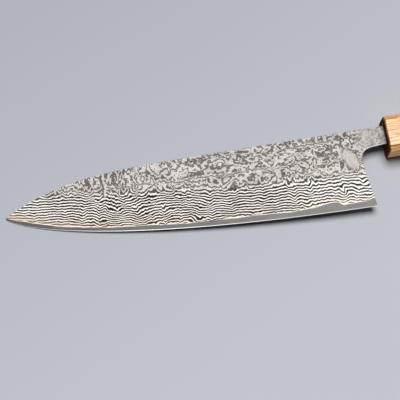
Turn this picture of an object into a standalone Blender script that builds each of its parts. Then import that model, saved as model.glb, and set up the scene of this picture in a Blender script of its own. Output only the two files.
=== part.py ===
"""Chef knife: a 210 mm laminated blade in an octagonal one-piece wooden handle.

The blade is a hard core sheet between two layered cladding sheets. All three run
back through the neck into a stick tang, which a resin fill holds in the handle's
bore. Nothing on the knife moves.

Frame: the knife lies on its side. +X runs from the tip to the butt, +Y from the
cutting edge to the spine, +Z out of the upper face. The origin is the centre of
the handle's underside facet. Shapes are worked out in millimetres in the knife's
own axes (heel at x = 0, handle axis at y = 0, middle of the blade at z = 0) and
the empty "knife_axes" places them.
"""

import bisect
import math

import bmesh
import bpy
from mathutils import Vector

MM = 0.001

# ---- driving dimensions, millimetres ----------------------------------------
# blade outline, in the knife's own axes
BLADE_LENGTH = 210.0  # heel to tip
HEEL_Y = -39.3  # heel corner, below the handle axis
SPINE_Y = 6.75  # straight part of the spine
TIP_Y = -12.4  # point of the blade
TIP_BACK = (-207.8, -10.6)  # where the rounded point runs into the spine
TIP_BELLY = (-208.0, -14.4)  # where the rounded point runs into the edge
SPINE_DROP_START = -95.0  # the spine is straight from the neck to here
SPINE_PULLS = ((-180.0, 3.1), (-165.4, SPINE_Y))
EDGE_PULLS = ((-182.1, -27.9), (-108.3, -38.1))
CHOIL_THROAT = (-3.3, -12.5)  # deepest point of the choil's line
CHOIL_PULLS = ((-1.6, -27.0), (-3.5, -19.0))
THROAT_PULLS = ((-3.2, -7.4), (-0.9, -5.55))
NECK_UNDER = (3.0, -4.95)  # where the throat's curve becomes the neck's underside

# neck and tang
NECK_LENGTH = 12.0  # heel to the handle's front face
NECK_BOTTOM, NECK_TOP = -4.3, 6.5
TANG_LENGTH = 88.0  # inside the handle
TANG_END_BOTTOM, TANG_END_TOP = -1.2, 3.4

# thickness
DISTAL_TAPER = (  # (x, half the spine's thickness)
    (-210.0, 0.26),
    (-200.0, 0.40),
    (-160.0, 0.62),
    (-100.0, 0.82),
    (-20.0, 1.08),
    (0.0, 1.32),
    (12.0, 1.80),
    (100.0, 1.00),
)
CORE_SHOWS = (  # (x, height of bare core above the edge)
    (-210.0, 1.6),
    (-200.0, 2.3),
    (-160.0, 2.5),
    (-100.0, 3.0),
    (-88.0, 3.5),
    (-45.0, 3.5),
    (-22.0, 4.6),
    (-8.0, 4.0),
    (0.0, 4.8),
)
BEVEL_HEIGHT = 0.45  # height of the sharpening bevel
BEVEL_HALF = 0.12  # half thickness at the top of the sharpening bevel
GRIND_POWER = 1.5  # how convex the ground faces are
LAYER_GAP = 0.010  # between a cladding sheet and the core
CLADDING_LIP = 0.010  # thickness at the cladding's lower edge

# handle
HANDLE_LENGTH = 142.0
HANDLE_FRONT_HEIGHT = 21.6
HANDLE_BUTT_HEIGHT = 23.6
HANDLE_THICKNESS = 17.2
CHAMFER_Y, CHAMFER_Z = 3.0, 3.0
FRONT_ROUND, BUTT_ROUND = 1.1, 0.9

# bore and its fill
BORE_LENGTH = 104.0
BORE_CENTRE_Y = 1.1
BORE_FRONT = (6.3, 2.6)  # half height, half width
BORE_END = (3.4, 1.7)
FILL_INSET = 1.2  # the fill stops this far inside the front face
FIT_GAP = 0.08

STATIONS_BLADE = 36
STATIONS_CHOIL = 7
STATIONS_THROAT = 5
STATIONS_NECK = 4
STATIONS_TANG = 5
ROWS_CORE = 5
ROWS_CLADDING = 8

COLLECTION = "chef_knife"


# ---- scene -------------------------------------------------------------------
for old in list(bpy.data.objects):
    bpy.data.objects.remove(old, do_unlink=True)

parts = bpy.data.collections.new(COLLECTION)
cutters = bpy.data.collections.new("cutters")
bpy.context.scene.collection.children.link(parts)
bpy.context.scene.collection.children.link(cutters)

axes = bpy.data.objects.new("knife_axes", None)
axes.location = (
    -(NECK_LENGTH + HANDLE_LENGTH / 2) * MM,
    0.0,
    HANDLE_THICKNESS / 2 * MM,
)
parts.objects.link(axes)


def material(name, colour, roughness, metallic):
    made = bpy.data.materials.new(name)
    made.use_nodes = True
    shader = made.node_tree.nodes["Principled BSDF"]
    shader.inputs["Base Color"].default_value = (*colour, 1.0)
    shader.inputs["Roughness"].default_value = roughness
    shader.inputs["Metallic"].default_value = metallic
    made.diffuse_color = (*colour, 1.0)
    return made


def add_object(name, mesh_maker, look=None, cutter=False):
    """A new object from a bmesh in millimetres, hung on the knife's axes."""
    mesh = bpy.data.meshes.new(name)
    bmesh.ops.recalc_face_normals(mesh_maker, faces=mesh_maker.faces[:])
    for vert in mesh_maker.verts:
        vert.co *= MM
    mesh_maker.to_mesh(mesh)
    mesh_maker.free()
    made = bpy.data.objects.new(name, mesh)
    (cutters if cutter else parts).objects.link(made)
    made.parent = axes
    if cutter:
        made.hide_render = True
        made.display_type = "WIRE"
    if look:
        mesh.materials.append(look)
    return made


# ---- curves of the outline ---------------------------------------------------
def bezier(points, t):
    a, b, c, d = (Vector(p) for p in points)
    s = 1.0 - t
    return s**3 * a + 3 * s * s * t * b + 3 * s * t * t * c + t**3 * d


TIP = (-BLADE_LENGTH, TIP_Y)
HEEL = (0.0, HEEL_Y)
TIP_TO_BELLY = (TIP, (TIP[0], TIP_Y - 1.0), (-209.2, -13.7), TIP_BELLY)
TIP_TO_BACK = (TIP, (TIP[0], TIP_Y + 0.8), (-209.0, -11.2), TIP_BACK)
EDGE = (TIP_BELLY, *EDGE_PULLS, HEEL)
SPINE = (TIP_BACK, *SPINE_PULLS, (SPINE_DROP_START, SPINE_Y))
CHOIL = (HEEL, *CHOIL_PULLS, CHOIL_THROAT)
THROAT = (CHOIL_THROAT, *THROAT_PULLS, NECK_UNDER)


def sampled(*curves, steps=300):
    """The curves' points in order of x."""
    found = [bezier(c, i / steps) for c in curves for i in range(steps + 1)]
    return sorted((p.x, p.y) for p in found)


def reader(table):
    xs = [p[0] for p in table]
    ys = [p[1] for p in table]

    def read(x):
        i = bisect.bisect_left(xs, x)
        if i <= 0:
            return ys[0]
        if i >= len(xs):
            return ys[-1]
        share = (x - xs[i - 1]) / ((xs[i] - xs[i - 1]) or 1.0)
        return ys[i - 1] + share * (ys[i] - ys[i - 1])

    return read


edge_y = reader(sampled(TIP_TO_BELLY, EDGE))
curved_spine_y = reader(sampled(TIP_TO_BACK, SPINE))
spine_half = reader(DISTAL_TAPER)
core_shows = reader(CORE_SHOWS)


def spine_y(x):
    if x <= SPINE_DROP_START:
        return curved_spine_y(x)
    if x <= 0.0:
        return SPINE_Y
    if x <= NECK_LENGTH:
        return SPINE_Y + (NECK_TOP - SPINE_Y) * x / NECK_LENGTH
    return NECK_TOP + (TANG_END_TOP - NECK_TOP) * (x - NECK_LENGTH) / TANG_LENGTH


def smooth(share):
    share = min(max(share, 0.0), 1.0)
    return share * share * (3.0 - 2.0 * share)


def half_thickness(x, y):
    """Half the blade's thickness: a small flat bevel, then a convex grind up to
    the spine. It evens out into the flat-sided neck and tang behind the heel."""
    full = spine_half(x)
    height = max(spine_y(x) - edge_y(x), 1e-3)
    up = min(max(y - edge_y(x), 0.0), height)
    bevel = min(BEVEL_HEIGHT, 0.3 * height)
    shoulder = min(BEVEL_HALF, 0.4 * full)
    if up < bevel:
        ground = shoulder * up / bevel
    else:
        share = 1.0 - (up - bevel) / (height - bevel)
        ground = shoulder + (full - shoulder) * (1.0 - share**GRIND_POWER)
    flat = smooth((x + 4.0) / (NECK_LENGTH + 2.0)) * smooth((y + 24.0) / 15.0)
    return ground + (full - ground) * flat


def core_half(x):
    """Half the core sheet's thickness. It thins towards the point with the rest of
    the blade, and it is as thick as the blade where the cladding ends."""
    x = min(max(x, -BLADE_LENGTH), 0.0)
    return half_thickness(x, edge_y(x) + core_shows(x))


def stations():
    """Section lines from the lower outline to the upper one, tip to tang end."""
    lines = []
    for i in range(STATIONS_BLADE + 1):
        # stations crowd towards the point
        share = (i / STATIONS_BLADE) ** 1.6
        x = -BLADE_LENGTH * (1.0 - share)
        top = -BLADE_LENGTH + (x + BLADE_LENGTH) * (BLADE_LENGTH - 8.0) / BLADE_LENGTH
        lines.append((Vector((x, edge_y(x))), Vector((top, spine_y(top)))))
    for i in range(1, STATIONS_CHOIL + 1):
        t = i / STATIONS_CHOIL
        top = -8.0 + 5.5 * t
        lines.append((bezier(CHOIL, t), Vector((top, spine_y(top)))))
    for i in range(1, STATIONS_THROAT + 1):
        t = i / STATIONS_THROAT
        top = -2.5 + 6.0 * t
        lines.append((bezier(THROAT, t), Vector((top, spine_y(top)))))
    start = Vector(NECK_UNDER)
    stop = Vector((NECK_LENGTH, NECK_BOTTOM))
    for i in range(1, STATIONS_NECK + 1):
        t = i / STATIONS_NECK
        top = 3.5 + (NECK_LENGTH - 3.5) * t
        lines.append((start.lerp(stop, t), Vector((top, spine_y(top)))))
    end = Vector((NECK_LENGTH + TANG_LENGTH, TANG_END_BOTTOM))
    for i in range(1, STATIONS_TANG + 1):
        t = i / STATIONS_TANG
        top = NECK_LENGTH + TANG_LENGTH * t
        lines.append((stop.lerp(end, t), Vector((top, spine_y(top)))))
    return lines


def reach(line, more):
    """How far along a section line, 0 to 1, the blade becomes this much thicker
    on each side than its core."""
    low, high = line

    def over(at):
        return half_thickness(*at) - core_half(at.x) - more

    if over(low) >= 0.0:
        return 0.0
    if over(high) <= 0.0:
        return 1.0
    a, b = 0.0, 1.0
    for _ in range(40):
        mid = (a + b) / 2
        if over(low.lerp(high, mid)) < 0.0:
            a = mid
        else:
            b = mid
    return b


def mapped_grid(across, along, place):
    """A grid primitive whose vertex (i, j) is moved to place(i, j)."""
    made = bmesh.new()
    bmesh.ops.create_grid(made, x_segments=along - 1, y_segments=across - 1, size=0.5)
    made.verts.ensure_lookup_table()
    for vert in made.verts:
        i = round((vert.co.x + 0.5) * (along - 1))
        j = round((vert.co.y + 0.5) * (across - 1))
        vert.co = place(i, j)
    return made


LINES = stations()


# ---- core --------------------------------------------------------------------
def core_place(i, j):
    low, high = LINES[i]
    length = (high - low).length
    bevel = min(BEVEL_HEIGHT / length, 0.3) if length > 1e-6 else 0.3
    bound = min(max(reach(LINES[i], 0.0), bevel + 0.05), 0.98)
    share = (0.0, bevel, bound, (bound + 1.0) / 2, 1.0)[j]
    at = low.lerp(high, share)
    return Vector((at.x, at.y, min(half_thickness(*at), core_half(at.x))))


core_mesh = mapped_grid(ROWS_CORE, len(LINES), core_place)
rim = [e for e in core_mesh.edges if e.is_boundary]
skirt = bmesh.ops.extrude_edge_only(core_mesh, edges=rim)["geom"]
for item in skirt:
    if isinstance(item, bmesh.types.BMVert):
        item.co.z = 0.0
bmesh.ops.remove_doubles(core_mesh, verts=core_mesh.verts[:], dist=1e-4)
bmesh.ops.dissolve_degenerate(core_mesh, edges=core_mesh.edges[:], dist=1e-5)

steel = material("core_steel", (0.30, 0.29, 0.28), 0.38, 1.0)
core = add_object("blade_core", core_mesh, steel)
mirror = core.modifiers.new("other_half", "MIRROR")
mirror.use_axis = (False, False, True)
mirror.use_mirror_merge = True
mirror.merge_threshold = 0.000001


# ---- cladding ----------------------------------------------------------------
LEAST = LAYER_GAP + CLADDING_LIP
CLAD_LINES = [
    line
    for line in LINES
    if (line[1] - line[0]).length * (1.0 - reach(line, LEAST)) > 0.4
]


def clad_place(i, j):
    line = CLAD_LINES[i]
    begin = reach(line, LEAST)
    share = begin + (1.0 - begin) * (j / (ROWS_CLADDING - 1)) ** 1.2
    at = line[0].lerp(line[1], share)
    return Vector((at.x, at.y, max(half_thickness(*at), core_half(at.x) + LEAST)))


def cladding(name, side, look):
    sheet = mapped_grid(ROWS_CLADDING, len(CLAD_LINES), clad_place)
    grown = bmesh.ops.extrude_face_region(sheet, geom=sheet.faces[:])["geom"]
    for item in grown:
        if isinstance(item, bmesh.types.BMVert):
            item.co.z = core_half(item.co.x) + LAYER_GAP
    if side < 0:
        for vert in sheet.verts:
            vert.co.z = -vert.co.z
    return add_object(name, sheet, look)


layered = material("layered_steel", (0.42, 0.40, 0.37), 0.32, 1.0)
cladding("blade_cladding_left", 1, layered)
cladding("blade_cladding_right", -1, layered)


# ---- handle ------------------------------------------------------------------
def octagon_corner(angle, height):
    """The corner of the handle's section that an eight-sided ring has at this angle."""
    y, z = math.cos(angle), math.sin(angle)
    on_side = abs(y) > abs(z)
    half_y = height / 2 - (0.0 if on_side else CHAMFER_Y)
    half_z = HANDLE_THICKNESS / 2 - (CHAMFER_Z if on_side else 0.0)
    return math.copysign(half_y, y), math.copysign(half_z, z)


handle_mesh = bmesh.new()
bmesh.ops.create_cone(
    handle_mesh,
    cap_ends=True,
    cap_tris=False,
    segments=8,
    radius1=1.0,
    radius2=1.0,
    depth=1.0,
)
eighth = math.radians(45.0)
for vert in handle_mesh.verts:
    angle = math.atan2(vert.co.y, vert.co.x)
    # the section's corners sit half a step round from the primitive's
    angle = (math.floor(angle / eighth + 1e-4) + 0.5) * eighth
    at_butt = vert.co.z > 0
    y, z = octagon_corner(angle, HANDLE_BUTT_HEIGHT if at_butt else HANDLE_FRONT_HEIGHT)
    vert.co = (NECK_LENGTH + (HANDLE_LENGTH if at_butt else 0.0), y, z)

round_weight = handle_mesh.edges.layers.float.new("bevel_weight_edge")
for edge in handle_mesh.edges:
    xs = [v.co.x for v in edge.verts]
    if abs(xs[0] - xs[1]) < 1e-6:
        edge[round_weight] = 1.0 if xs[0] < 50 else BUTT_ROUND / FRONT_ROUND

wood = material("oak_wood", (0.55, 0.34, 0.18), 0.55, 0.0)
handle = add_object("handle_body", handle_mesh, wood)
soft = handle.modifiers.new("rounded_ends", "BEVEL")
soft.limit_method = "WEIGHT"
soft.width = FRONT_ROUND * MM
soft.segments = 4


def tapered_box(x0, x1, front, end, centre=(0.0, 0.0)):
    """A box along X whose half height and half width change evenly from x0 to x1."""
    made = bmesh.new()
    bmesh.ops.create_cube(made, size=2.0)
    for vert in made.verts:
        far = vert.co.x > 0
        half = end if far else front
        middle = centre[1] if far else centre[0]
        vert.co = (
            x1 if far else x0,
            middle + vert.co.y * half[0],
            vert.co.z * half[1],
        )
    return made


def even(front, end, share):
    return tuple(a + (b - a) * share for a, b in zip(front, end))


bore = add_object(
    "bore_cutter",
    tapered_box(
        NECK_LENGTH - 3.0,
        NECK_LENGTH + BORE_LENGTH,
        even(BORE_FRONT, BORE_END, -3.0 / BORE_LENGTH),
        BORE_END,
        (BORE_CENTRE_Y, BORE_CENTRE_Y),
    ),
    cutter=True,
)
cut = handle.modifiers.new("tang_bore", "BOOLEAN")
cut.operation = "DIFFERENCE"
cut.solver = "EXACT"
cut.object = bore

# ---- fill around the tang ----------------------------------------------------
fill_front = NECK_LENGTH + FILL_INSET
fill_end = NECK_LENGTH + BORE_LENGTH - FIT_GAP
shrink = lambda half: tuple(h - FIT_GAP for h in half)
resin = material("tang_resin", (0.10, 0.075, 0.05), 0.6, 0.0)
fill = add_object(
    "tang_adhesive",
    tapered_box(
        fill_front,
        fill_end,
        shrink(even(BORE_FRONT, BORE_END, FILL_INSET / BORE_LENGTH)),
        shrink(BORE_END),
        (BORE_CENTRE_Y, BORE_CENTRE_Y),
    ),
    resin,
)


def tang_half(share):
    bottom = NECK_BOTTOM + (TANG_END_BOTTOM - NECK_BOTTOM) * share
    top = NECK_TOP + (TANG_END_TOP - NECK_TOP) * share
    x = NECK_LENGTH + TANG_LENGTH * share
    return (top - bottom) / 2 + FIT_GAP, spine_half(x) + FIT_GAP, (top + bottom) / 2


before, after = -0.03, 1.0 + 0.3 / TANG_LENGTH
h0, w0, m0 = tang_half(0.0)
h1, w1, m1 = tang_half(1.0)
room = add_object(
    "tang_cutter",
    tapered_box(
        NECK_LENGTH + TANG_LENGTH * before,
        NECK_LENGTH + TANG_LENGTH * after,
        (h0 + (h1 - h0) * before, w0 + (w1 - w0) * before),
        (h0 + (h1 - h0) * after, w0 + (w1 - w0) * after),
        (m0 + (m1 - m0) * before, m0 + (m1 - m0) * after),
    ),
    cutter=True,
)
hollow = fill.modifiers.new("tang_room", "BOOLEAN")
hollow.operation = "DIFFERENCE"
hollow.solver = "EXACT"
hollow.object = room

for piece in parts.objects:
    if piece.type == "MESH":
        piece.data.shade_smooth()
        piece.data.set_sharp_from_angle(angle=math.radians(25.0))
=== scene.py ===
"""Chef knife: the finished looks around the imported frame.

The blade's core and its two layered cladding sheets, the handle and the resin in
its bore are rebuilt here as fine meshes on the frame's own dimensions. The blade
points along -x, its edge faces -y and its sides face +z and -z. The knife keeps its
frame, and the floor is tilted instead, because a knife laid on its side rests on
its point and on the front of its handle.
"""

import math
from types import SimpleNamespace

import bmesh
import bpy
import numpy as np
from mathutils import Matrix, Vector


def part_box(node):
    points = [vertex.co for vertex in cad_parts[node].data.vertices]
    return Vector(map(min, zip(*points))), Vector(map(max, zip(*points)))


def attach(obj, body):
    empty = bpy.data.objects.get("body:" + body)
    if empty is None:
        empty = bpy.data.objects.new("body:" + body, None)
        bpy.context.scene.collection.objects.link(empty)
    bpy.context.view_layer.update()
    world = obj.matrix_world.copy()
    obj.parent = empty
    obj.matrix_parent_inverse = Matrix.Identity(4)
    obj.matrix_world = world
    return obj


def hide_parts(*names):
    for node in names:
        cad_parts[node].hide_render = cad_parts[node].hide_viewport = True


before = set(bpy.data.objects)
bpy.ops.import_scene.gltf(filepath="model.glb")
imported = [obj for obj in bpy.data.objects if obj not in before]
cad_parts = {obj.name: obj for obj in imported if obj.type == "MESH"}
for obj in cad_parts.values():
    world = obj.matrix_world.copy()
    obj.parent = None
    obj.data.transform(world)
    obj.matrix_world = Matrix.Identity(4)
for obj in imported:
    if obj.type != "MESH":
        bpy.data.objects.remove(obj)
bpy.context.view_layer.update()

MM = 0.001

# ---- the knife's own axes, from the frame ------------------------------------
# heel at x = 0, handle axis at y = 0, middle of the blade at z = 0, millimetres
handle_low, handle_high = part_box("handle_body")
core_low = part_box("blade_core")[0]
NECK_LENGTH = 12.0
HANDLE_LENGTH = (handle_high.x - handle_low.x) / MM
HANDLE_THICKNESS = (handle_high.z - handle_low.z) / MM
ORIGIN = Vector(
    (
        handle_low.x / MM - NECK_LENGTH,
        (handle_high.y + handle_low.y) / 2 / MM,
        (handle_high.z + handle_low.z) / 2 / MM,
    )
)
BLADE_LENGTH = ORIGIN.x - core_low.x / MM
HEEL_Y = core_low.y / MM - ORIGIN.y

# ---- blade dimensions --------------------------------------------------------
# outline, as (x, y); the pulls are the middle control points of each curve
SPINE_Y = 6.75
TIP_Y = -12.4
TIP_BACK = (-207.8, -10.6)
TIP_BELLY = (-208.0, -14.4)
SPINE_DROP_START = -95.0
SPINE_PULLS = ((-180.0, 3.1), (-165.4, SPINE_Y))
EDGE_PULLS = ((-182.1, -27.9), (-108.3, -38.1))
CHOIL_THROAT = (-3.3, -12.5)
CHOIL_PULLS = ((-1.6, -27.0), (-3.5, -19.0))
THROAT_PULLS = ((-3.2, -7.4), (-0.9, -5.55))
NECK_UNDER = (3.0, -4.95)
NECK_BOTTOM, NECK_TOP, NECK_HALF = -4.3, 6.5, 1.80
TANG_LENGTH = 88.0
TANG_END_BOTTOM, TANG_END_TOP, TANG_END_HALF = -1.2, 3.4, 1.00
TANG_END = NECK_LENGTH + TANG_LENGTH

# x, half the thickness at the spine
DISTAL_TAPER = (
    (-210.0, 0.26),
    (-200.0, 0.40),
    (-160.0, 0.62),
    (-100.0, 0.82),
    (-20.0, 1.08),
    (0.0, 1.32),
    (NECK_LENGTH, NECK_HALF),
    (TANG_END, TANG_END_HALF),
)
# x, height of bare core above the edge
CORE_SHOWS = (
    (-210.0, 1.5),
    (-200.0, 2.3),
    (-160.0, 2.4),
    (-102.0, 2.9),
    (-88.0, 3.45),
    (-50.0, 3.35),
    (0.0, 3.8),
)
BEVEL_HEIGHT, BEVEL_HALF = 0.38, 0.12
GRIND_POWER = 1.5
SEAM = 0.004  # between the sheets
SPINE_EASE, CHOIL_EASE = 0.28, 0.20  # rounding of the sheet's outer corners

# section lines along each stretch, and the upper x where each stretch ends
BLADE_STEPS, CHOIL_STEPS, THROAT_STEPS, NECK_STEPS, TANG_STEPS = 430, 60, 34, 20, 6
HEEL_UPPER, CHOIL_UPPER, THROAT_UPPER = -8.0, -2.5, 3.5
SHEET_ROWS = 46
RIM_ROWS = (0.06, 0.22, 0.5, 1.0)  # places of the close rows, as shares of the rim


# ---- curves and fades --------------------------------------------------------
def bezier(points, t):
    p = [np.array(point, float) for point in points]
    t = np.asarray(t, float)[..., None]
    s = 1.0 - t
    return s**3 * p[0] + 3 * s * s * t * p[1] + 3 * s * t * t * p[2] + t**3 * p[3]


def straight(points, t):
    start, stop = np.array(points[0]), np.array(points[1])
    return start + (stop - start) * t[:, None]


def table_reader(pairs):
    places, values = zip(*pairs)
    return lambda x: np.interp(x, places, values)


def smooth(share):
    share = np.clip(share, 0.0, 1.0)
    return share * share * (3.0 - 2.0 * share)


def fade_in(value, start, over):
    """0 up to start, then climbing to 1."""
    return smooth((value - start) / over)


def fade_out(value, end, over):
    """1, falling to 0 at end."""
    return smooth((end - value) / over)


# ---- blade outline and thickness ---------------------------------------------
TIP, HEEL = (-BLADE_LENGTH, TIP_Y), (0.0, HEEL_Y)
TIP_TO_BELLY = (TIP, (TIP[0], TIP_Y - 1.0), (-209.2, -13.7), TIP_BELLY)
TIP_TO_BACK = (TIP, (TIP[0], TIP_Y + 0.8), (-209.0, -11.2), TIP_BACK)
EDGE = (TIP_BELLY, *EDGE_PULLS, HEEL)
SPINE = (TIP_BACK, *SPINE_PULLS, (SPINE_DROP_START, SPINE_Y))
CHOIL = (HEEL, *CHOIL_PULLS, CHOIL_THROAT)
THROAT = (CHOIL_THROAT, *THROAT_PULLS, NECK_UNDER)
NECK_END = (NECK_LENGTH, NECK_BOTTOM)


def outline_table(first, second):
    """Points of two joined curves, sorted by x."""
    steps = np.linspace(0.0, 1.0, 600)
    table = np.concatenate([bezier(first, steps), bezier(second, steps)[1:]])
    return table[np.argsort(table[:, 0], kind="stable")]


edge_y = table_reader(outline_table(TIP_TO_BELLY, EDGE))
back_y = table_reader(outline_table(TIP_TO_BACK, SPINE))
spine_half = table_reader(DISTAL_TAPER)
core_shows = table_reader(CORE_SHOWS)


def spine_y(x):
    neck = SPINE_Y + (NECK_TOP - SPINE_Y) * np.clip(x / NECK_LENGTH, 0, 1)
    tang = (TANG_END_TOP - NECK_TOP) * np.clip((x - NECK_LENGTH) / TANG_LENGTH, 0, 1)
    return np.where(x <= SPINE_DROP_START, back_y(x), neck + tang)


def half_thickness(x, y):
    x, y = np.asarray(x, float), np.asarray(y, float)
    full = spine_half(x)
    height = np.maximum(spine_y(x) - edge_y(x), 1e-3)
    up = np.clip(y - edge_y(x), 0.0, height)
    bevel = np.minimum(BEVEL_HEIGHT, 0.3 * height)
    shoulder = np.minimum(BEVEL_HALF, 0.4 * full)
    share = 1.0 - np.clip((up - bevel) / (height - bevel), 0.0, 1.0)
    ground = np.where(
        up < bevel,
        shoulder * up / bevel,
        shoulder + (full - shoulder) * (1.0 - share**GRIND_POWER),
    )
    # towards the neck the grind gives way to full thickness
    flat = fade_in(x, start=-4.0, over=NECK_LENGTH + 2.0) * fade_in(y, start=-24.0, over=15.0)
    return ground + (full - ground) * flat


# amplitude, length and phase of each wave in the seam
SEAM_WAVES = ((0.16, 11.3, 0.6), (0.13, 5.1, 2.0), (0.09, 2.3, 0.9), (0.06, 1.17, 2.4))


def seam_height(x):
    """Where the bare core ends, above the edge: the forge weld wanders a little."""
    fade = fade_in(x, start=-BLADE_LENGTH, over=14.0)
    wander = sum(size * np.sin(x / length + phase) for size, length, phase in SEAM_WAVES)
    # ahead of the heel it swells once, and at the heel it climbs again
    swell = 0.60 * fade_in(x, start=-46.0, over=13.0)
    swell = swell + 1.65 * fade_in(x, start=-36.0, over=13.0)
    swell = swell * fade_out(x, end=-17.8, over=3.2)
    return core_shows(x) + fade * wander + swell + 0.95 * fade_in(x, start=-5.0, over=4.5)


def core_slab(x):
    """Half the core sheet's thickness under the cladding."""
    x = np.clip(x, -BLADE_LENGTH, 0.0)
    return half_thickness(x, edge_y(x) + np.maximum(core_shows(x) - 1.1, 0.5))


# ---- section lines -----------------------------------------------------------
def section_lines():
    """Lines from the lower outline to the upper one, tip to tang end: (n, 2) each."""
    share = np.linspace(0, 1, BLADE_STEPS + 1)
    share = 0.55 * share**1.9 + 0.45 * share  # closer together at the tip
    share[0] = 0.0004
    x = -BLADE_LENGTH * (1.0 - share)
    lower = [np.stack([x, edge_y(x)], 1)]
    reach = BLADE_LENGTH + HEEL_UPPER
    upper_x = [-BLADE_LENGTH + (x + BLADE_LENGTH) * reach / BLADE_LENGTH]
    tang_end = (TANG_END, TANG_END_BOTTOM)
    for curve, points, steps, start, stop in (
        (bezier, CHOIL, CHOIL_STEPS, HEEL_UPPER, CHOIL_UPPER),
        (bezier, THROAT, THROAT_STEPS, CHOIL_UPPER, THROAT_UPPER),
        (straight, (NECK_UNDER, NECK_END), NECK_STEPS, THROAT_UPPER, NECK_LENGTH),
        (straight, (NECK_END, tang_end), TANG_STEPS, NECK_LENGTH, TANG_END),
    ):
        t = np.linspace(0, 1, steps + 1)[1:]
        lower.append(curve(points, t))
        upper_x.append(start + (stop - start) * t)
    top = np.concatenate(upper_x)
    return np.concatenate(lower), np.stack([top, spine_y(top)], 1)


LOW, HIGH = section_lines()
LENGTH = np.linalg.norm(HIGH - LOW, axis=1)
ON_EDGE = np.arange(len(LOW)) <= BLADE_STEPS


def along_line(distance):
    """Points at this distance up each section line: distance is (lines, rows)."""
    unit = (HIGH - LOW) / LENGTH[:, None]
    return LOW[:, None] + unit[:, None] * distance[..., None]


def seam_on_lines(elsewhere, slack=0.0):
    """Seam's distance up each line, and the lines where it crosses the choil's face.

    Behind the heel the seam climbs the choil's face and ends there.
    """
    choil_up = LOW[:, 1] - HEEL_Y
    at_heel = seam_height(0.0)
    height = np.where(ON_EDGE, seam_height(LOW[:, 0]), elsewhere)
    on_choil = (~ON_EDGE) & (choil_up < at_heel - slack) & (LOW[:, 0] <= 0.01)
    return np.where(on_choil, at_heel - choil_up, height), on_choil


def eased(distance, radius):
    """How far a rounded corner of this radius drops the surface, near the rim."""
    inside = np.clip(radius - distance, 0.0, radius)
    return radius - np.sqrt(np.maximum(radius**2 - inside**2, 0.0))


# ---- meshes ------------------------------------------------------------------
def to_frame(points):
    return (np.asarray(points, float) + np.array(ORIGIN)) * MM


def new_piece(name, points, faces, replaces, slot, sharp_degrees, fields=None):
    """A mesh object in the frame; fields are numbers on each point, for its material."""
    mesh = bpy.data.meshes.new(name)
    mesh.from_pydata([tuple(point) for point in to_frame(points)], [], faces)
    mesh.validate()
    piece = bpy.data.objects.new(name, mesh)
    bpy.context.scene.collection.objects.link(piece)
    build = bmesh.new()
    build.from_mesh(mesh)
    bmesh.ops.recalc_face_normals(build, faces=build.faces[:])
    build.to_mesh(mesh)
    build.free()
    mesh.shade_smooth()
    for key, values in (fields or {}).items():
        layer = mesh.attributes.new(key, "FLOAT", "POINT")
        layer.data.foreach_set("value", np.asarray(values, np.float32))
    mesh.set_sharp_from_angle(angle=math.radians(sharp_degrees))
    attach(piece, "root")
    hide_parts(replaces)
    return piece


def grid_faces(lines, rows, start=0):
    """Quads of a lines by rows grid of points, in point order i * rows + j."""
    i, j = np.meshgrid(np.arange(lines - 1), np.arange(rows - 1), indexing="ij")
    a = start + i * rows + j
    return np.stack([a, a + rows, a + rows + 1, a + 1], -1).reshape(-1, 4).tolist()


def ring_piece(name, stations, **details):
    """A skin over (x, section) stations, closed at its first and last section."""
    count = len(stations[0][1])
    points = [np.concatenate([np.full((count, 1), x), section], 1) for x, section in stations]
    faces = []
    for i in range(len(stations) - 1):
        here, beyond = i * count, (i + 1) * count
        for j in range(count):
            k = (j + 1) % count
            faces.append([here + j, here + k, beyond + k, beyond + j])
    faces.append(list(range(count)))
    faces.append([(len(stations) - 1) * count + j for j in range(count)])
    return new_piece(name, np.concatenate(points), faces, sharp_degrees=50, **details)


# ---- the layered sheets ------------------------------------------------------
# x, y where the close parallel layers give way to the broad clouds
CLOUD_LINE = table_reader(
    (
        (-210.0, 1.0),
        (-194.0, -2.2),
        (-178.0, -3.8),
        (-161.0, -5.9),
        (-150.0, -7.8),
        (-125.0, -10.0),
        (-105.0, -12.6),
        (-92.0, -15.2),
        (-80.0, -16.4),
        (-50.0, -17.6),
        (0.0, -20.0),
    )
)
# x, how far the layers have leaned off that line by the time they meet the core
LEAN = table_reader(
    (
        (-210.0, -3.0),
        (-150.0, -0.5),
        (-127.0, -0.5),
        (-110.0, 2.2),
        (-95.0, 1.8),
        (-30.0, -2.4),
        (0.0, -1.8),
    )
)
# x, how lively the layers' waves are
STIR = table_reader(
    (
        (-210.0, 0.45),
        (-172.0, 0.55),
        (-150.0, 1.15),
        (-112.0, 1.25),
        (-92.0, 0.75),
        (-62.0, 0.60),
        (-45.0, 0.9),
        (0.0, 1.0),
    )
)


def layer_fields(points, rim):
    """Where each point lies in the stack of layers, and which look it has."""
    x, y = points[..., 0], points[..., 1]
    over = y - CLOUD_LINE(x)
    # below the cloud line the grind cuts the layers at a steady angle; above it the
    # face lies almost along them
    middle = fade_in(x, start=-165.0, over=20.0) * fade_out(x, end=-92.0, over=20.0)
    bend = 1.9 + 1.3 * middle
    depth = np.clip(-over, 0.0, 20.0)
    soft = bend * np.logaddexp(0.0, (2.5 - over + LEAN(x) * depth / 16.0) / bend)
    layers_per_mm = 0.54 + 0.10 * fade_out(x, end=-150.0, over=30.0)
    front = fade_out(x, end=-88.0, over=45.0)
    return {
        "layer": -layers_per_mm * soft + over * 0.08,
        "cloud": fade_in(over, start=-3.2, over=6.5),
        "rim": np.broadcast_to(rim, x.shape),
        "neck": fade_in(x, start=-7.5, over=9.0) * fade_in(y, start=-15.0, over=7.0),
        "front": front,
        "tip": fade_out(x, end=-150.0, over=45.0),
        "stir": STIR(x),
        "upright": np.maximum(front, 0.9 * fade_out(over, end=8.0, over=4.5)),
    }


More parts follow.
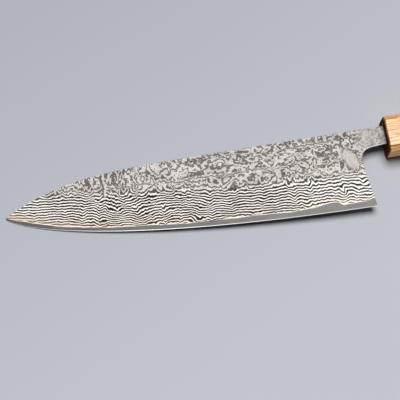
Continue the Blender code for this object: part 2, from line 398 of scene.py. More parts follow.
def cladding_faces(lines, rows):
    """The outer grid, then walls to the two inner rims, the inner face and the ends."""
    low, high = lines * rows, lines * rows + lines
    faces = grid_faces(lines, rows)
    for i in range(lines - 1):
        here, beyond = i * rows, (i + 1) * rows
        faces.append([here, beyond, low + i + 1, low + i])
        faces.append([here + rows - 1, beyond + rows - 1, high + i + 1, high + i])
        faces.append([low + i, low + i + 1, high + i + 1, high + i])
    for i in (0, lines - 1):
        faces.append([i * rows + j for j in range(rows)] + [high + i, low + i])
    return faces


def cladding(name, side, replaces):
    """One sheet: side is 1 for the +z face and -1 for the -z face."""
    begin = np.minimum(seam_on_lines(elsewhere=0.0)[0], LENGTH)
    span = LENGTH - begin
    keep = span > 0.35
    share = np.linspace(0.0, 1.0, SHEET_ROWS - 2 * len(RIM_ROWS))
    distance = begin[:, None] + span[:, None] * share[None, :]
    # extra rows round the two rims
    rim = np.minimum(0.35, span * 0.08)
    near = np.stack([begin + rim * place for place in RIM_ROWS], 1)
    far = np.stack([begin + span - rim * place for place in RIM_ROWS], 1)
    distance = np.sort(np.concatenate([distance, near, far], 1), axis=1)
    points = along_line(distance)
    slab = core_slab(points[..., 0])
    z = half_thickness(points[..., 0], points[..., 1])
    from_low = distance - begin[:, None]
    from_high = LENGTH[:, None] - distance
    top_round = np.minimum(SPINE_EASE, 0.5 * (z - slab))
    z = z - eased(from_high, np.maximum(top_round, 1e-9))
    low_ease = np.where(begin > 0, 0.0, CHOIL_EASE)
    low_round = np.minimum(low_ease[:, None], 0.5 * (z - slab))
    z = z - eased(from_low, np.maximum(low_round, 1e-9))
    inner = slab + SEAM
    z = np.maximum(z, inner + 0.004)
    outer = np.concatenate([points, z[..., None]], -1)[keep]
    inner_low = np.concatenate([points[:, 0], inner[:, 0, None]], 1)[keep]
    inner_high = np.concatenate([points[:, -1], inner[:, -1, None]], 1)[keep]
    lines, rows = outer.shape[:2]
    vertices = np.concatenate([outer.reshape(-1, 3), inner_low, inner_high])
    vertices[:, 2] *= side
    on_low = layer_fields(inner_low, np.zeros(lines))
    on_high = layer_fields(inner_high, span[keep])
    fields = {
        key: np.concatenate([value.ravel(), on_low[key], on_high[key]])
        for key, value in layer_fields(outer, from_low[keep]).items()
    }
    return new_piece(
        name,
        vertices,
        cladding_faces(lines, rows),
        replaces=replaces,
        slot="layered_steel",
        sharp_degrees=40,
        fields=fields,
    )


# ---- the core ----------------------------------------------------------------
def core_faces(lines, rows):
    """The +z and -z grids, walls along their rims, and the two ends."""
    other = lines * rows
    faces = grid_faces(lines, rows) + grid_faces(lines, rows, other)
    for i in range(lines - 1):
        for j in (0, rows - 1):
            a, b = i * rows + j, (i + 1) * rows + j
            faces.append([a, b, other + b, other + a])
    for i in (0, lines - 1):
        end = [i * rows + j for j in range(rows)]
        faces.append(end + [other + point for point in reversed(end)])
    return faces


def core():
    show, on_choil = seam_on_lines(elsewhere=0.12, slack=0.02)
    show = np.minimum(show, LENGTH * 0.999)
    bevel = np.minimum(BEVEL_HEIGHT, 0.3 * LENGTH)
    on_bevel = np.where(ON_EDGE, np.minimum(bevel, show * 0.6), show * 0.2)
    past_bevel = on_bevel * 1.06
    rows = [np.zeros_like(show)]
    rows += [on_bevel * share for share in (0.25, 0.5, 0.8, 0.97, 1.06)]
    bare = show - SEAM - past_bevel
    rows += [past_bevel + bare * share for share in np.linspace(0.1, 1, 12)]
    covered = len(rows)  # the first row under the cladding
    rows += [show + (LENGTH - show) * share for share in np.linspace(0.0, 1.0, 8)]
    distance = np.stack(rows, 1)
    points = along_line(distance)
    z = half_thickness(points[..., 0], points[..., 1])
    thinned = np.minimum(z, core_slab(points[..., 0]))
    z[:, covered:] = thinned[:, covered:]
    hidden = ~ON_EDGE & ~on_choil
    z[hidden] = thinned[hidden]
    z = np.maximum(z, 0.002)
    upper = np.concatenate([points, z[..., None]], -1).reshape(-1, 3)
    lower = upper * np.array((1.0, 1.0, -1.0))
    bevel_share = np.clip((on_bevel[:, None] * 1.03 - distance) / 0.05, 0, 1)
    bevel_share = np.where(ON_EDGE[:, None], bevel_share, 0.0)
    return new_piece(
        "core_steel_sheet",
        np.concatenate([upper, lower]),
        core_faces(*z.shape),
        replaces="blade_core",
        slot="core_steel",
        sharp_degrees=9,
        fields={"up": np.tile(distance.ravel(), 2), "bevel": np.tile(bevel_share.ravel(), 2)},
    )


# ---- the handle --------------------------------------------------------------
HANDLE_FRONT_HEIGHT, HANDLE_BUTT_HEIGHT = 21.6, 23.6
CHAMFER_Y, CHAMFER_Z = 3.0, 3.0
FRONT_ROUND, BUTT_ROUND, LONG_ROUND = 1.1, 0.9, 0.38
BORE_LENGTH, BORE_CENTRE_Y = 104.0, 1.1
BORE_FRONT, BORE_END = (6.3, 2.6), (3.4, 1.7)  # half sizes in y and z
TAPER = (HANDLE_BUTT_HEIGHT - HANDLE_FRONT_HEIGHT) / 2 / HANDLE_LENGTH
FACET_STEPS = 6
CORNER_STEPS = 4
SLOT_POWER = 7.0  # squareness of the bore's rounded rectangle


def toward(start, end):
    return (end - start) / np.linalg.norm(end - start)


def octagon(height, inset=0.0):
    """The handle's section as (points, 2) in y and z, with rounded long edges."""
    half_y, half_z = height / 2 - inset, HANDLE_THICKNESS / 2 - inset
    flat_y = half_y - (CHAMFER_Y - inset * 0.42)
    flat_z = half_z - (CHAMFER_Z - inset * 0.42)
    corners = np.array(
        [
            (half_y, -flat_z), (half_y, flat_z), (flat_y, half_z), (-flat_y, half_z),
            (-half_y, flat_z), (-half_y, -flat_z), (-flat_y, -half_z), (flat_y, -half_z),
        ]
    )  # fmt: skip
    ring = []
    for i, corner in enumerate(corners):
        following = corners[(i + 1) % 8]
        start = corner + toward(corner, corners[i - 1]) * LONG_ROUND
        end = corner + toward(corner, following) * LONG_ROUND
        for step in range(CORNER_STEPS + 1):
            t = step / CORNER_STEPS
            ring.append((1 - t) ** 2 * start + 2 * t * (1 - t) * corner + t * t * end)
        stop = following + toward(following, corner) * LONG_ROUND
        for step in range(1, FACET_STEPS):
            ring.append(end + (stop - end) * step / FACET_STEPS)
    return np.array(ring)


def slot_ring(half, centre=BORE_CENTRE_Y):
    """A rounded rectangle in y and z with as many points as the octagon's ring."""
    outer = octagon(HANDLE_FRONT_HEIGHT)
    angle = np.arctan2(outer[:, 1], outer[:, 0])
    cosine, sine = np.cos(angle), np.sin(angle)
    reach = np.abs(cosine / half[0]) ** SLOT_POWER + np.abs(sine / half[1]) ** SLOT_POWER
    reach = reach ** (-1 / SLOT_POWER)
    return np.stack([reach * cosine + centre, reach * sine], 1)


def bore_section(share, gap=0.0):
    """The bore at this share of its length, drawn in by gap."""
    return slot_ring([a + (b - a) * share - gap for a, b in zip(BORE_FRONT, BORE_END)])


def handle():
    front, butt = NECK_LENGTH, NECK_LENGTH + HANDLE_LENGTH
    # up the bore from its blind end, then out over the front face
    rings = [(front + BORE_LENGTH * share, bore_section(share)) for share in (1.0, 0.5, 0.2, 0.06)]
    mouth = bore_section(0.0, gap=-0.35)
    rings.append((front + 0.35, bore_section(0.0)))
    rings.append((front + 0.08, bore_section(0.0, gap=-0.12)))
    rings.append((front, mouth))
    lip = octagon(HANDLE_FRONT_HEIGHT, FRONT_ROUND * 1.02)
    rings += [(front, mouth + (lip - mouth) * share) for share in (0.2, 0.4, 0.6, 0.8, 1.0)]
    for step in range(1, 7):
        angle = math.pi / 2 * step / 6
        section = octagon(HANDLE_FRONT_HEIGHT, FRONT_ROUND * (1 - math.sin(angle)))
        rings.append((front + FRONT_ROUND * (1 - math.cos(angle)), section))
    for share in np.linspace(0, 1, 72)[1:-1]:
        x = front + FRONT_ROUND + (HANDLE_LENGTH - FRONT_ROUND - BUTT_ROUND) * share
        rings.append((x, octagon(HANDLE_FRONT_HEIGHT + 2 * TAPER * (x - front))))
    for step in range(6):
        angle = math.pi / 2 * step / 5
        section = octagon(HANDLE_BUTT_HEIGHT, BUTT_ROUND * (1 - math.cos(angle)))
        rings.append((butt - BUTT_ROUND * (1 - math.sin(angle)), section))
    last = rings[-1][1]
    rings += [(butt, last * share) for share in (0.75, 0.5, 0.25)]
    return ring_piece("oak_handle", rings, replaces="handle_body", slot="handle_wood")


# ---- the resin round the tang ------------------------------------------------
RESIN_BORE_GAP, RESIN_TANG_GAP = 0.08, 0.10
RESIN_END_GAPS = 0.4, 0.5  # past the tang's end, and short of the bore's
# share of the way from steel to wood, depth below the handle's front
MENISCUS = (
    (0.0, 0.55), (0.12, 0.85), (0.3, 1.05), (0.5, 1.12),
    (0.7, 1.05), (0.88, 0.85), (1.0, 0.6),
)  # fmt: skip


def tang_section(share):
    """Just outside the tang, at this share of its length."""
    bottom = NECK_BOTTOM + (TANG_END_BOTTOM - NECK_BOTTOM) * share
    top = NECK_TOP + (TANG_END_TOP - NECK_TOP) * share
    half_y = (top - bottom) / 2 + RESIN_TANG_GAP
    half_z = NECK_HALF + (TANG_END_HALF - NECK_HALF) * share + RESIN_TANG_GAP
    return slot_ring((half_y, half_z), (top + bottom) / 2)


def resin():
    front = NECK_LENGTH
    rings = [(TANG_END + RESIN_END_GAPS[0], tang_section(1.0))]
    rings += [(front + TANG_LENGTH * share, tang_section(share)) for share in (0.6, 0.3, 0.1, 0.03)]
    # a meniscus that clings to the steel and to the wood
    inner, outer = tang_section(0.008), bore_section(0.008, RESIN_BORE_GAP)
    rings += [(front + sink, inner + (outer - inner) * share) for share, sink in MENISCUS]
    for share in (0.04, 0.3, 0.65, (BORE_LENGTH - RESIN_END_GAPS[1]) / BORE_LENGTH):
        rings.append((front + BORE_LENGTH * share, bore_section(share, RESIN_BORE_GAP)))
    return ring_piece("tang_resin_fill", rings, replaces="tang_adhesive", slot="tang_resin")


# ---- node trees --------------------------------------------------------------
class Value:
    """An output socket; arithmetic on it adds nodes."""

    def __init__(self, graph, socket):
        self.graph, self.socket = graph, socket

    def __add__(self, other):
        return self.graph.math("ADD", self, other)

    def __sub__(self, other):
        return self.graph.math("SUBTRACT", self, other)

    def __mul__(self, other):
        return self.graph.math("MULTIPLY", self, other)

    def __abs__(self):
        return self.graph.math("ABSOLUTE", self)

    def sine(self):
        return self.graph.math("SINE", self)

    def times_plus(self, factor, offset):
        return self.graph.math("MULTIPLY_ADD", self, factor, offset)

    def clamped(self):
        """Clamps the math node this value comes from to 0 to 1."""
        self.socket.node.use_clamp = True
        return self

    def signed(self, amount):
        """Noise, which runs 0 to 1 about 0.5, as plus or minus amount."""
        return (self - 0.5) * (2.0 * amount)

    def peaked(self, amount):
        """Noise folded at its middle, which gives the layers their sharp bends."""
        return abs(self - 0.5) * amount

    def ramp(self, low, high, to=(0.0, 1.0), soft=True):
        """Low to high becomes to[0] to to[1], held beyond both."""
        return self.graph.value(
            "ShaderNodeMapRange",
            {0: self, 1: low, 2: high, 3: to[0], 4: to[1]},
            interpolation_type="SMOOTHSTEP" if soft else "LINEAR",
            clamp=True,
        )

    def fall(self, low, high):
        """1 up to low, 0 from high on."""
        return self.ramp(low, high, to=(1.0, 0.0))


class Graph:
    """Short names for building a node tree."""

    def __init__(self, tree):
        self.tree = tree

    def put(self, socket, value):
        if isinstance(value, Value):
            self.tree.links.new(value.socket, socket)
        elif isinstance(value, tuple) and socket.type == "RGBA":
            socket.default_value = (*value, 1.0)
        else:
            socket.default_value = value

    def node(self, kind, inputs, **settings):
        node = self.tree.nodes.new(kind)
        for key, value in settings.items():
            setattr(node, key, value)
        for key, value in inputs.items():
            self.put(node.inputs[key], value)
        return node

    def value(self, kind, inputs, output=0, **settings):
        return Value(self, self.node(kind, inputs, **settings).outputs[output])

    def math(self, operation, first, second=0.0, third=None):
        inputs = {0: first, 1: second}
        if third is not None:
            inputs[2] = third
        return self.value("ShaderNodeMath", inputs, operation=operation)

    def axes(self, vector):
        node = self.node("ShaderNodeSeparateXYZ", {0: vector})
        return [Value(self, output) for output in node.outputs]

    def mix(self, share, a, b):
        """Colour a, giving way to colour b."""
        inputs = {"Factor": share, 6: a, 7: b}
        return self.value("ShaderNodeMix", inputs, output=2, data_type="RGBA")

    def blend(self, share, a, b):
        """Number a, giving way to number b."""
        return self.value("ShaderNodeMix", {"Factor": share, 2: a, 3: b}, data_type="FLOAT")

    def times(self, vector, factor):
        inputs = {0: vector, "Scale": factor}
        return self.value("ShaderNodeVectorMath", inputs, operation="SCALE")


class Look(Graph):
    """A material, with the place in millimetres in the knife's own axes."""

    def __init__(self, name):
        self.material = bpy.data.materials.new(name)
        self.material.use_nodes = True
        super().__init__(self.material.node_tree)
        where = self.value("ShaderNodeTexCoord", {}, output="Object")
        self.place = self.value(
            "ShaderNodeVectorMath",
            {0: self.times(where, 1.0 / MM), 1: tuple(ORIGIN)},
            operation="SUBTRACT",
        )

    def attribute(self, name):
        return self.value("ShaderNodeAttribute", {}, output="Fac", attribute_name=name)

    def normal_axes(self):
        return self.axes(self.value("ShaderNodeNewGeometry", {}, output="Normal"))

    def noise(self, per_mm, detail=2.0, rough=0.5, warp=0.0, turn=0.0, shift=(0.0, 0.0, 0.0)):
        """Noise with this many waves per mm on each axis, turned about z."""
        vector = self.value(
            "ShaderNodeMapping",
            {
                "Vector": self.place,
                "Scale": per_mm,
                "Rotation": (0.0, 0.0, turn),
                "Location": shift,
            },
        )
        inputs = {
            "Vector": vector,
            "Scale": 1.0,
            "Detail": detail,
            "Roughness": rough,
            "Distortion": warp,
        }
        return self.value("ShaderNodeTexNoise", inputs, output="Fac")

    def face_noise(self, along, up, shift=(0.0, 0.0), detail=1.0, **settings):
        """Noise for the blade's faces: waves per mm along x and up y."""
        return self.noise((along, up, 1.0), detail=detail, shift=(*shift, 0.0), **settings)

    def bump(self, height, strength, distance_mm):
        inputs = {"Strength": strength, "Distance": distance_mm * MM, "Height": height}
        return self.value("ShaderNodeBump", inputs)

    def finish(self, colour, roughness, metallic, normal=None, specular=None):
        inputs = {
            "Base Color": colour,
            "Roughness": roughness,
            "Metallic": metallic,
            "Normal": normal,
            "Specular IOR Level": specular,
        }
        shader = self.tree.nodes["Principled BSDF"]
        for key, value in inputs.items():
            if value is not None:
                self.put(shader.inputs[key], value)
        return self.material


# ---- layered steel -----------------------------------------------------------
# long lines: y at x = 0, slope, first x and last x
LONG_LINES = (
    (-9.2, -0.028, -112.0, -58.0),
    (3.9, 0.038, -44.0, -20.0),
    (-12.6, -0.058, -150.0, -104.0),
)
# standing folds: x, lowest y, highest y and how far the middle bows towards -x
STANDING_FOLDS = ((-153.0, -10.0, 6.0, 0.5), (-54.6, -18.0, -7.6, 1.3))


def steel_fields(look):
    """The sheet's point fields, its x and y, and the noises that several parts share."""
    names = ("layer", "cloud", "rim", "neck", "front", "tip", "stir", "upright")
    at = SimpleNamespace(**{name: look.attribute(name) for name in names})
    at.x, at.y, _ = look.axes(look.place)
    at.drift = look.face_noise(along=0.020, up=0.030, shift=(3.1, 1.7))
    at.kink = look.face_noise(along=0.155, up=0.085, shift=(1.9, 5.2), warp=0.40)
    at.nick = look.face_noise(along=0.55, up=0.17, shift=(6.1, 2.2))
    at.fine = look.face_noise(along=1.15, up=1.15, shift=(4.4, 2.5))
    at.crumb = look.face_noise(along=0.80, up=1.05, shift=(2.7, 6.3))
    return at


def layer_push(look, at):
    """How the layers were pushed about in forging, in layer pairs."""
    fold = look.face_noise(along=0.070, up=0.045, shift=(7.3, 0.4), warp=0.4)
    bends = fold.signed(1.2) + fold.peaked(1.5)
    bends = bends + (at.kink.signed(1.3) + at.kink.peaked(1.7))
    bends = bends + at.nick.signed(0.50)
    return at.drift.signed(1.1) + bends * at.stir + at.fine.signed(0.13)


def cloud_push(look, at):
    """The clouds' own push, in layer pairs.

    Near the spine the layers lie almost along the face and break into clouds, whose
    outlines stand across the blade in front and lie along it behind.
    """
    standing = look.face_noise(along=0.150, up=0.060, turn=0.10, shift=(9.7, 3.3), warp=0.5)
    lying = look.face_noise(along=0.050, up=0.130, turn=-0.06, shift=(4.1, 7.7), warp=0.7)
    tall = look.face_noise(
        along=0.36, up=0.14, turn=0.08, shift=(2.2, 8.1), detail=2.0, rough=0.55
    )
    level = look.face_noise(
        along=0.17, up=0.42, turn=-0.05, shift=(5.2, 0.1), detail=2.0, rough=0.60, warp=0.5
    )
    push = look.blend(at.upright, lying, standing).signed(2.4) + at.crumb.signed(0.46)
    push = push + look.blend(at.upright, level, tall).signed(1.20)
    return push * at.cloud


def lines_and_clouds(look, at):
    """The two patterns, each 0 for dark layers and 1 for bright ones."""
    total = at.layer + (layer_push(look, at) + cloud_push(look, at))
    wave = (total * (2.0 * math.pi)).sine()
    # thick and thin layers
    wave = wave + look.face_noise(along=0.14, up=0.40, shift=(8.8, 1.1)).signed(0.50)
    thin = look.blend(at.tip, at.x.ramp(-60.0, -30.0, to=(0.13, -0.20)), -0.05)
    lines = (wave - thin).ramp(0.0, 0.26)
    # thin layers show as outlines where one patch gives way to the next
    outline = (total * (6.0 * math.pi)).sine()
    clouds = outline.times_plus(0.42, wave).ramp(-0.62, 0.40)
    grain = look.face_noise(along=1.7, up=1.3, detail=2.0, rough=0.7)
    patch = look.face_noise(along=0.09, up=0.16, shift=(1.1, 4.7), detail=2.0)
    clouds = clouds * 0.90 + grain.signed(0.80)
    return lines, (clouds + patch.signed(0.50)).clamped()


def blended_patch(at):
    """Shares of the light oval ahead of the neck and of the dark ring round it."""
    across = at.y.times_plus(0.30, at.x + 12.6) * (1.0 / 3.9)
    upward = (at.y + 9.9) * (1.0 / 6.6)
    radius = at.x.graph.math("SQRT", across * across + upward * upward)
    radius = radius + at.kink.signed(0.25)
    ring = radius.ramp(0.92, 1.06) * radius.fall(1.10, 1.30)
    return radius.fall(0.75, 1.10), ring


def layer_colour(look, at, lines, clouds):
    warm = (at.rim + at.drift.signed(3.0)).fall(0.5, 5.5)
    warm = warm * at.front.ramp(0.0, 1.0, to=(0.42, 1.0))
    faint = warm * at.tip.ramp(0.0, 1.0, to=(0.10, 0.48))
    dark = look.mix(warm, (0.018, 0.014, 0.012), (0.040, 0.028, 0.019))
    bright = look.mix(warm, (0.98, 0.93, 0.88), (0.96, 0.85, 0.73))
    lined = look.mix(lines, dark, bright)
    lined = look.mix(faint, lined, (0.50, 0.415, 0.335))
    cloud_dark = look.mix(at.front, (0.152, 0.137, 0.130), (0.145, 0.131, 0.124))
    clouded = look.mix(clouds, cloud_dark, (0.725, 0.685, 0.645))
    # the light patch in front of the neck, where the face was blended by hand
    oval, ring = blended_patch(at)
    clouded = look.mix(oval * 0.80, clouded, (0.62, 0.585, 0.555))
    clouded = look.mix(ring * 0.55, clouded, (0.20, 0.18, 0.165))
    return look.mix(at.cloud, lined, clouded)


def stroke(look, colour, distance, fade, extent, strength, tone):
    """A line of this tone where distance, in mm, is below the fade."""
    return look.mix(distance.fall(*fade) * extent * strength, colour, tone)


def with_long_lines(look, at, colour):
    """Long lines where two folds of the billet meet: a dark one in a pale band."""
    wander = look.face_noise(along=0.10, up=0.02, shift=(0.2, 0.9), detail=2.0, rough=0.6)
    for level, slope, start, stop in LONG_LINES:
        height = at.y - at.x.times_plus(slope, level)
        height = height + wander.signed(2.6)
        near = abs(height + (at.nick.signed(1.3) + at.fine.signed(0.5)))
        extent = at.x.ramp(start - 5.0, start) * at.x.fall(stop, stop + 5.0)
        colour = stroke(
            look, colour, near, fade=(0.75, 1.05), extent=extent, strength=0.42,
            tone=(0.72, 0.68, 0.64),
        )  # fmt: skip
        colour = stroke(
            look, colour, near, fade=(0.26, 0.44), extent=extent, strength=0.80,
            tone=(0.12, 0.105, 0.095),
        )  # fmt: skip
    return colour


def with_standing_folds(look, at, colour):
    """Two folds that stand across the face, each dark with a pale line beside it."""
    for middle, low, high, curl in STANDING_FOLDS:
        share = (at.y - (low + high) / 2) * (math.pi / (high - low))
        bow = look.math("COSINE", share) * -curl
        across = (at.x - middle) + (bow + (at.kink.signed(2.0) + at.crumb.signed(0.9)))
        extent = at.y.ramp(low, low + 2.0) * at.y.fall(high - 2.0, high)
        colour = stroke(
            look, colour, abs(across - 0.75), fade=(0.50, 0.85), extent=extent,
            strength=0.8, tone=(0.74, 0.70, 0.66),
        )  # fmt: skip
        colour = stroke(
            look, colour, abs(across), fade=(0.32, 0.52), extent=extent,
            strength=0.85, tone=(0.11, 0.095, 0.085),
        )  # fmt: skip
    return colour


def with_neck(look, at, colour):
    """The neck's colour, and the share of its underside that gets painted shade and a dull finish.
    """
    # the neck is ground smooth, so its layers barely show
    speck = look.noise((1.5, 1.5, 1.5), detail=3.0, rough=0.65)
    smoky = look.noise((0.30, 0.30, 0.3), shift=(0.0, 3.0, 1.0))
    tone = (speck.ramp(0.30, 0.70) + smoky.signed(0.9)).clamped()
    ground = look.mix(tone, (0.23, 0.205, 0.195), (0.76, 0.71, 0.69))
    colour = look.mix(at.neck * 0.86, colour, ground)
    # painted highlight: a near-white line painted along the lower rim, where the rounded corner
    # catches the light
    painted_rim_highlight = at.rim.fall(0.22, 0.52) * at.x.ramp(-3.6, -2.6)
    colour = look.mix(painted_rim_highlight, colour, (1.0, 0.98, 0.95))
    # painted shade: near-black colour, dull and not metallic, where the surface faces -y, away from
    # the key
    under = look.normal_axes()[1].fall(-0.75, -0.30) * at.x.ramp(-4.0, -1.0)
    painted_underside_shade = look.mix(speck, (0.006, 0.005, 0.004), (0.020, 0.015, 0.012))
    return look.mix(under, colour, painted_underside_shade), under


def with_seam(look, at, colour):
    """The innermost layer shows as a bright line beside the core."""
    seam = at.rim + at.kink.signed(0.55) + at.fine.signed(0.25)
    seam = seam - look.face_noise(along=0.13, up=0.13, shift=(3.0, 0.0)).signed(0.7)
    # one sliver of it is wider, just ahead of the heel
    sliver = at.x.ramp(-21.2, -20.2) * at.x.fall(-18.2, -15.4)
    seam = seam - sliver * 0.75
    seam = seam.fall(0.30, 0.60) * at.x.ramp(-208.5, -198.0)
    on_blade = at.x.fall(-4.0, -3.0)
    return look.mix(seam * (on_blade * 0.9), colour, (0.97, 0.92, 0.86))


def layered_steel():
    look = Look("layered_steel")
    at = steel_fields(look)
    lines, clouds = lines_and_clouds(look, at)
    colour = layer_colour(look, at, lines, clouds)
    colour = with_long_lines(look, at, colour)
    colour = with_standing_folds(look, at, colour)
    colour, under = with_neck(look, at, colour)
    colour = with_seam(look, at, colour)
    lines_rough = lines.ramp(0.0, 1.0, to=(0.52, 0.36))
    clouds_rough = clouds.ramp(0.0, 1.0, to=(0.50, 0.42))
    rough = look.blend(at.cloud, lines_rough, clouds_rough)
    return look.finish(
        colour,
        roughness=look.blend(under, rough, 0.8),
        metallic=look.blend(under, 0.88, 0.0),
        normal=look.bump(look.blend(at.cloud, lines, clouds), strength=0.25, distance_mm=0.012),
        specular=look.blend(under, 0.5, 0.05),
    )


# ---- the other knife materials -----------------------------------------------
def core_steel():
    look = Look("core_steel")
    bevel = look.attribute("bevel")
    grind = look.face_noise(along=1.2, up=0.08, turn=0.2, detail=3.0, rough=0.65)
    mottle = look.face_noise(along=0.08, up=0.3, detail=2.0)
    x = look.axes(look.place)[0]
    # brighter towards the heel
    level = x.ramp(-200.0, -40.0, to=(0.125, 0.255), soft=False)
    level = level + (grind.signed(0.045) + mottle.signed(0.04))
    colour = look.times((1.0, 0.975, 0.95), level)
    # the honed bevel is paler polished steel, painted brighter still as a highlight, brightest near
    # the middle of the blade
    honed_bevel_highlight = x.ramp(-208.0, -125.0, to=(0.20, 0.80)) * x.ramp(-140.0, -20.0, to=(1.0, 0.62))
    colour = look.mix(bevel, colour, look.times((1.0, 0.985, 0.965), honed_bevel_highlight))
    return look.finish(
        colour,
        roughness=look.blend(bevel, grind.ramp(0.3, 0.7, to=(0.36, 0.46)), 0.20),
        metallic=0.9,
        normal=look.bump(grind, strength=0.12, distance_mm=0.01),
    )


def oak_fields(look):
    """Places, facet shares and the wood's noises."""
    at = SimpleNamespace()
    at.x, at.y, _ = look.axes(look.place)
    normal_x, normal_y, normal_z = look.normal_axes()
    at.lengthwise = abs(normal_x).fall(0.30, 0.75)
    at.slant = abs(normal_y * normal_z)
    at.fibre = look.noise((0.085, 2.1, 2.1), detail=3.0, rough=0.65)
    at.thread = look.noise((0.11, 4.4, 4.4), rough=0.6, shift=(1.0, 7.0, 2.0))
    # growth rings run along the handle, cut at a slant
    growth = look.noise((0.013, 0.30, 0.22), rough=0.45, warp=0.25, shift=(0.0, 0.6, 2.0))
    at.bands = (growth * 46.0).sine().ramp(-0.95, 0.85)
    pores = look.noise((0.15, 2.9, 2.9), rough=0.55, shift=(5.0, 1.0, 3.0))
    at.pore = pores.ramp(0.57, 0.64) * at.bands.ramp(0.20, 0.80, to=(1.0, 0.30))
    return at


def oak_grain(look, at):
    colour = look.mix(at.bands, (0.565, 0.272, 0.080), (0.79, 0.515, 0.240))
    # painted highlight: the wide facets are painted paler towards the edge side, where the light's
    # soft highlight lies
    pale = at.y.ramp(-2.0, 3.0, to=(0.24, 0.0)) * at.y.ramp(-8.4, -7.2)
    colour = look.mix(pale * at.lengthwise, colour, (1.0, 0.84, 0.62))
    dull, lively = look.times(colour, 0.58), look.times(colour, 1.10)
    colour = look.mix(at.fibre.ramp(0.36, 0.64), dull, lively)
    threads = at.thread.ramp(0.52, 0.62, to=(0.0, 0.78))
    colour = look.mix(threads, colour, (0.33, 0.130, 0.034))
    return look.mix(at.pore * 0.85, colour, (0.150, 0.060, 0.018))


def with_facets(look, at, colour):
    # finish has gathered in a dark line along the edge of each wide facet
    facet_edge = (at.x - NECK_LENGTH).times_plus(TAPER, HANDLE_FRONT_HEIGHT / 2 - CHAMFER_Y)
    side = abs(at.y) - facet_edge - 0.26
    crease = abs(side + at.thread.signed(0.14)).fall(0.20, 0.46)
    crease = crease * at.fibre.ramp(0.25, 0.50, to=(0.60, 1.0))
    crease = crease * at.y.ramp(-2.0, 2.0, to=(1.0, 0.30))
    colour = look.mix(crease * at.lengthwise, colour, (0.115, 0.040, 0.010))
    # painted light: the slanting facets between the wide ones and the sides are painted paler, as
    # the light falls on them
    colour = look.times(colour, at.slant.ramp(0.15, 0.45, to=(1.0, 1.20)))
    streak = look.noise((0.22, 1.3, 1.3), rough=0.6, shift=(8.0, 3.0, 5.0))
    streak = streak.ramp(0.50, 0.58, to=(0.0, 0.55)) * at.slant.ramp(0.25, 0.45)
    colour = look.mix(streak, colour, (0.30, 0.105, 0.040))
    # painted shade: the wide facets are painted darker towards +y, away from the painted highlight
    # below
    painted_top_shade = at.y.ramp(-1.0, 5.0, to=(0.0, 0.20)) * at.lengthwise
    return look.mix(painted_top_shade, colour, (0.45, 0.21, 0.050))


def with_dark_front(look, at, colour):
    """The front end is darkened: its face, and the rounded edge behind it."""
    uneven = look.noise((0.3, 0.9, 0.9), detail=3.0, rough=0.65)
    reach = (at.x - NECK_LENGTH) + uneven.signed(0.45)
    char = reach.fall(0.00, 0.30)
    toast = reach.fall(0.50, 1.00) * uneven.ramp(0.38, 0.60, to=(1.0, 0.75))
    endgrain = look.noise((0.5, 2.0, 2.0), detail=3.0, rough=0.7)
    toasted = look.mix(endgrain.ramp(0.36, 0.64), (0.085, 0.024, 0.006), (0.26, 0.085, 0.016))
    burnt = look.mix(endgrain.ramp(0.40, 0.66), (0.006, 0.003, 0.002), (0.080, 0.028, 0.008))
    colour = look.mix(char, look.mix(toast, colour, toasted), burnt)
    return colour, look.math("MAXIMUM", char, toast)


def oak_wood():
    look = Look("oak_wood")
    at = oak_fields(look)
    colour = with_facets(look, at, oak_grain(look, at))
    colour, matt = with_dark_front(look, at, colour)
    rough = at.fibre.ramp(0.3, 0.75, to=(0.36, 0.52)) + at.pore * 0.2
    return look.finish(
        colour,
        roughness=look.blend(matt, rough, 0.95),
        metallic=0.0,
        normal=look.bump(at.fibre * 0.3 - at.pore, strength=0.45, distance_mm=0.07),
        specular=look.blend(matt, 0.50, 0.0),
    )


def resin_fill():
    look = Look("tang_resin")
    cloud = look.noise((0.8, 0.8, 0.8), detail=3.0)
    return look.finish(
        look.mix(cloud, (0.030, 0.020, 0.013), (0.085, 0.055, 0.035)),
        roughness=cloud.ramp(0.3, 0.7, to=(0.35, 0.6)),
        metallic=0.0,
        normal=look.bump(cloud, strength=0.3, distance_mm=0.1),
    )


# ---- floor -------------------------------------------------------------------
FLOOR_RADIUS_M, FLOOR_SEGMENTS = 4.0, 96
TIP_REST_Z = -0.12
HANDLE_REST_BACK, HANDLE_REST_GAP = 0.6, 0.02


def floor_look():
    look = Look("studio_floor")
    tone = look.noise((0.004, 0.004, 0.004), detail=1.0)
    x, y, _ = look.axes(look.place)
    # painted light: the floor is painted lighter towards +x and -y, as the studio light falls
    # across it
    painted_light_sweep = x * 0.50 - y + tone.signed(12.0)
    share = painted_light_sweep.ramp(-185.0, 110.0, soft=False)
    colour = look.mix(share, (0.350, 0.363, 0.400), (0.432, 0.450, 0.482))
    return look.finish(colour, roughness=0.9, metallic=0.0, specular=0.05)


def add_floor():
    """The floor touches the point and the front of the handle's underside."""
    tip_at = Vector(to_frame((-BLADE_LENGTH, TIP_Y, TIP_REST_Z)))
    underside = -HANDLE_THICKNESS / 2 - HANDLE_REST_GAP
    front_at = Vector(to_frame((NECK_LENGTH + HANDLE_REST_BACK, 0.0, underside)))
    slope = math.atan2(tip_at.z - front_at.z, front_at.x - tip_at.x)
    mesh = bpy.data.meshes.new("floor")
    build = bmesh.new()
    bmesh.ops.create_circle(
        build, cap_ends=True, segments=FLOOR_SEGMENTS, radius=FLOOR_RADIUS_M
    )
    build.to_mesh(mesh)
    build.free()
    floor = bpy.data.objects.new("floor", mesh)
    floor.matrix_world = Matrix.Translation(front_at) @ Matrix.Rotation(slope, 4, "Y")
    bpy.context.scene.collection.objects.link(floor)
    floor.data.materials.append(floor_look())


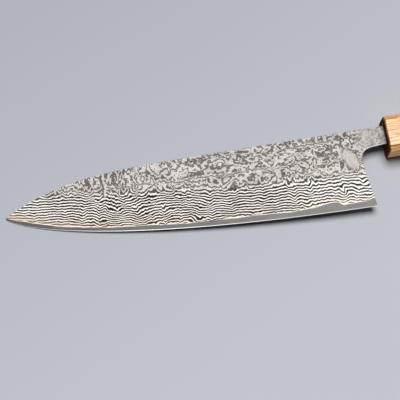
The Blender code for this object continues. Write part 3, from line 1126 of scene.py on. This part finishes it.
# ---- the room ----------------------------------------------------------------
# Dim for matt surfaces, which the suns light, and an even pale tent for what the
# steel mirrors, with a brighter strip on the viewer's side.
AMBIENT = (0.040, 0.042, 0.045)
BACKDROP = (0.60, 0.62, 0.655)
TENT_LOW, TENT_HIGH = (0.74, 0.745, 0.755), (1.02, 1.01, 1.0)
STRIP = 0.9


def add_world():
    world = bpy.data.worlds.new("studio")
    bpy.context.scene.world = world
    world.use_nodes = True
    graph = Graph(world.node_tree)
    _, y, z = graph.axes(graph.value("ShaderNodeTexCoord", {}, output="Generated"))
    tent = graph.mix(z.ramp(0.0, 0.8), TENT_LOW, TENT_HIGH)
    strip = y.ramp(-0.48, -0.36) * y.fall(-0.20, -0.08)
    brightness = strip.times_plus(z.ramp(0.6, 0.8, to=(0.0, STRIP)), 1.0)
    mirrored = graph.times(tent, brightness)
    path = graph.node("ShaderNodeLightPath", {})
    camera_ray = Value(graph, path.outputs["Is Camera Ray"])
    glossy_ray = Value(graph, path.outputs["Is Glossy Ray"])
    seen = graph.mix(camera_ray, AMBIENT, BACKDROP)
    background = graph.tree.nodes["Background"]
    graph.put(background.inputs["Color"], graph.mix(glossy_ray, seen, mirrored))


# ---- lights ------------------------------------------------------------------
KEY = {"source": (0.03, 0.27, 1.0), "energy": 3.95, "degrees": 32.0}
WOOD_FILL = {"source": (-0.30, -0.85, 0.62), "energy": 1.05, "degrees": 50.0}
WOOD_FILL_COLOUR = (1.0, 0.83, 0.66)


def soft_sun(name, source, energy, degrees, glossy):
    """A sun shining from source, for glossy rays alone or diffuse rays alone."""
    light = bpy.data.lights.new(name, "SUN")
    light.energy = energy
    light.angle = math.radians(degrees)
    sun = bpy.data.objects.new(name, light)
    sun.rotation_euler = Vector(source).to_track_quat("Z", "Y").to_euler()
    sun.visible_diffuse = not glossy
    sun.visible_glossy = glossy
    bpy.context.scene.collection.objects.link(sun)
    return sun


def add_lights(wood):
    """The key lights every matt surface. The steel mirrors the tent instead, so only
    the wood takes a sheen from the key."""
    soft_sun("key", **KEY, glossy=False)
    sheen = soft_sun("sheen", **KEY, glossy=True)
    fill = soft_sun("wood_fill", **WOOD_FILL, glossy=False)
    fill.data.color = WOOD_FILL_COLOUR
    wooden = bpy.data.collections.new("wooden_pieces")
    wooden.objects.link(wood)
    for light in (sheen, fill):
        light.light_linking.receiver_collection = wooden


# ---- camera ------------------------------------------------------------------
EYE = (-98.88, -135.85, 446.55)  # in the knife's own axes
CAMERA_AHEAD = (0.0007, 0.2525, -0.9676)
CAMERA_RIGHT = (0.9872, -0.1545, -0.0396)
SENSOR_WIDTH, FOCAL_LENGTH = 36.0, 72.81
CLIP_START_M, CLIP_END_M = 0.01, 50.0


def add_camera():
    data = bpy.data.cameras.new("camera")
    data.sensor_fit = "HORIZONTAL"
    data.sensor_width = SENSOR_WIDTH
    data.lens = FOCAL_LENGTH
    data.clip_start, data.clip_end = CLIP_START_M, CLIP_END_M
    camera = bpy.data.objects.new("camera", data)
    ahead = Vector(CAMERA_AHEAD).normalized()
    up = Vector(CAMERA_RIGHT).normalized().cross(ahead).normalized()
    right = ahead.cross(up).normalized()
    turn = Matrix((right, up, -ahead)).transposed().to_4x4()
    camera.matrix_world = Matrix.Translation(Vector(to_frame(EYE))) @ turn
    bpy.context.scene.collection.objects.link(camera)
    bpy.context.scene.camera = camera


# ---- build -------------------------------------------------------------------
left_sheet = cladding("layered_sheet_left", 1, "blade_cladding_left")
right_sheet = cladding("layered_sheet_right", -1, "blade_cladding_right")
core_sheet = core()
wood_handle = handle()
tang_resin = resin()

layered = layered_steel()
left_sheet.data.materials.append(layered)
right_sheet.data.materials.append(layered)
core_sheet.data.materials.append(core_steel())
wood_handle.data.materials.append(oak_wood())
tang_resin.data.materials.append(resin_fill())

add_floor()
add_world()
add_lights(wood_handle)
add_camera()
bpy.context.scene.view_settings.view_transform = "Standard"
bpy.context.scene.view_settings.look = "None"
